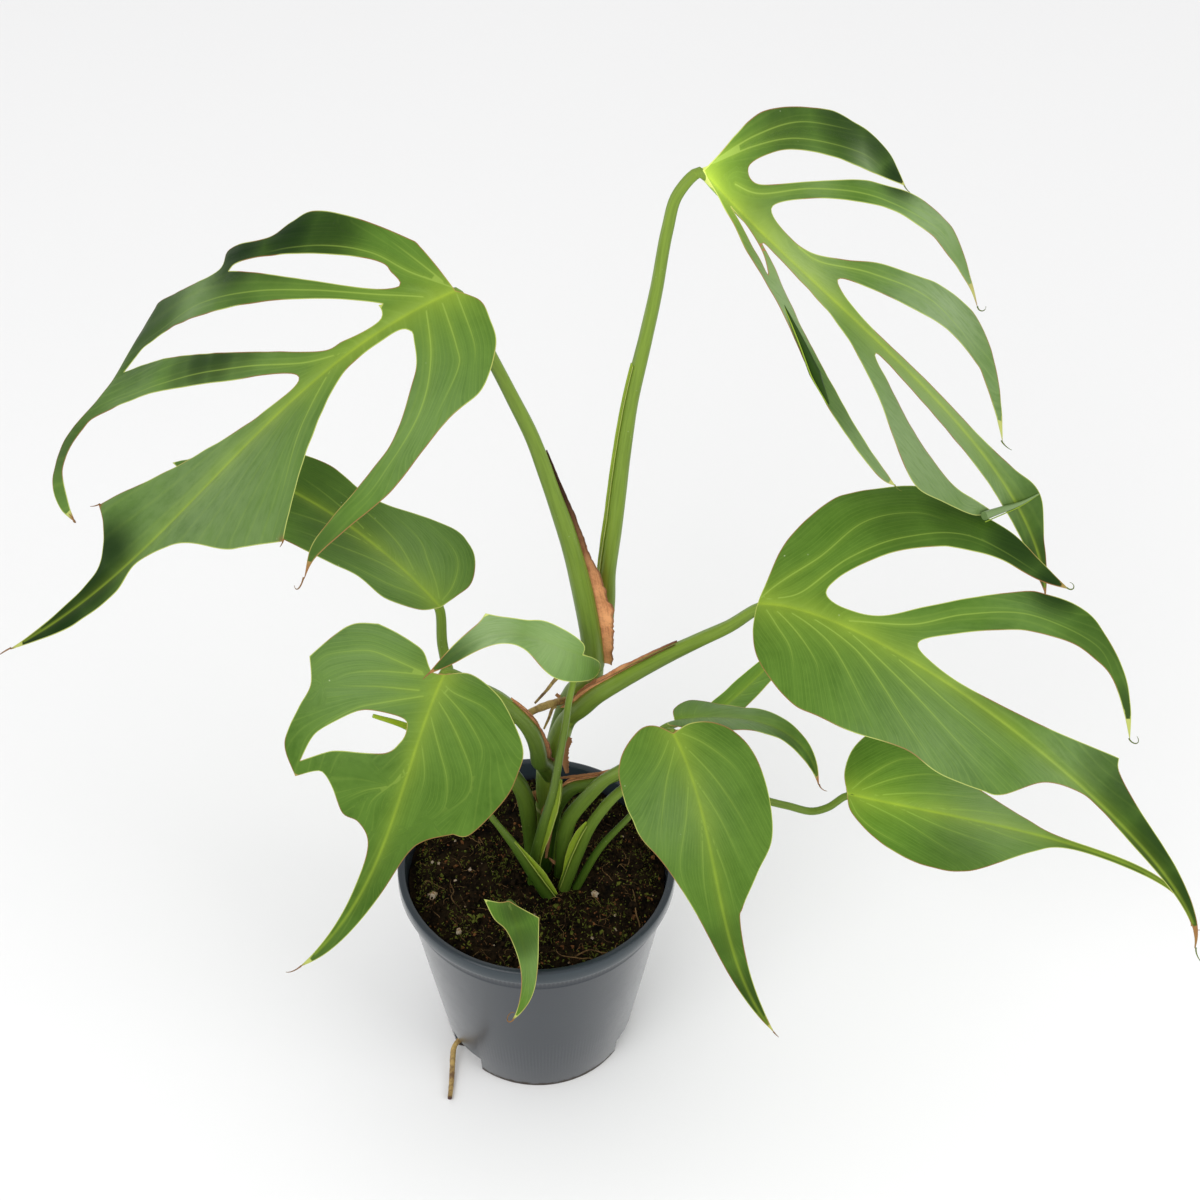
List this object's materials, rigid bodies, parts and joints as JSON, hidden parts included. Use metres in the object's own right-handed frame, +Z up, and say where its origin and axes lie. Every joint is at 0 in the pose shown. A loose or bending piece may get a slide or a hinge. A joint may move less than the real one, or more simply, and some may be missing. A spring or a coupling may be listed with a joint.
{
  "type": "potted flame monstera",
  "caption": "Young climbing aroid with deeply split leaves on long stalks, growing from soil in a round tapered nursery pot.",
  "frame": {"origin": "middle of the pot's flat underside, on the surface that the pot stands on", "axes": "+Z up; +X towards the two large split leaves on the right of the picture; -Y towards the side that most blades face and the camera stood on"},
  "size_m": [0.5663, 0.2271, 0.5639],
  "materials": {
    "leaf": "satin green blade with a paler yellow-green midrib and margin",
    "stalk": "smooth green stalk, slightly waxy",
    "stem": "pale green stem with brown rings",
    "root": "matt ochre-brown root",
    "dry_sheath": "dry papery brown sheath",
    "young_sheath": "thin yellow-green sheath",
    "pot": "satin slate blue-grey moulded plastic",
    "soil": "dark peat mix with perlite and moss"
  },
  "bodies": {
    "root": {"leaf_a": "leaf", "leaf_b": "leaf", "leaf_c": "leaf", "leaf_d": "leaf", "leaf_e": "leaf", "leaf_f": "leaf", "leaf_g": "leaf", "leaf_h": "leaf", "leaf_i": "leaf", "leaf_j": "leaf", "leaf_k": "leaf", "petiole_a": "stalk", "petiole_b": "stalk", "petiole_c": "stalk", "petiole_d": "stalk", "petiole_e": "stalk", "petiole_f": "stalk", "petiole_g": "stalk", "petiole_h": "stalk", "petiole_i": "stalk", "petiole_j": "stalk", "petiole_k": "stalk", "spear": "stalk", "stem": "stem", "stem_upper": "stem", "aerial_root_thick": "root", "aerial_root_thin": "root", "aerial_root_pale": "root", "drain_root": "root", "sheath_a": "dry_sheath", "sheath_c": "dry_sheath", "sheath_d": "dry_sheath", "sheath_h": "dry_sheath", "sheath_b": "young_sheath", "sheath_f": "young_sheath", "sheath_i": "young_sheath", "sheath_spear": "young_sheath", "pot": "pot", "soil": "soil"}
  },
  "joints": []
}
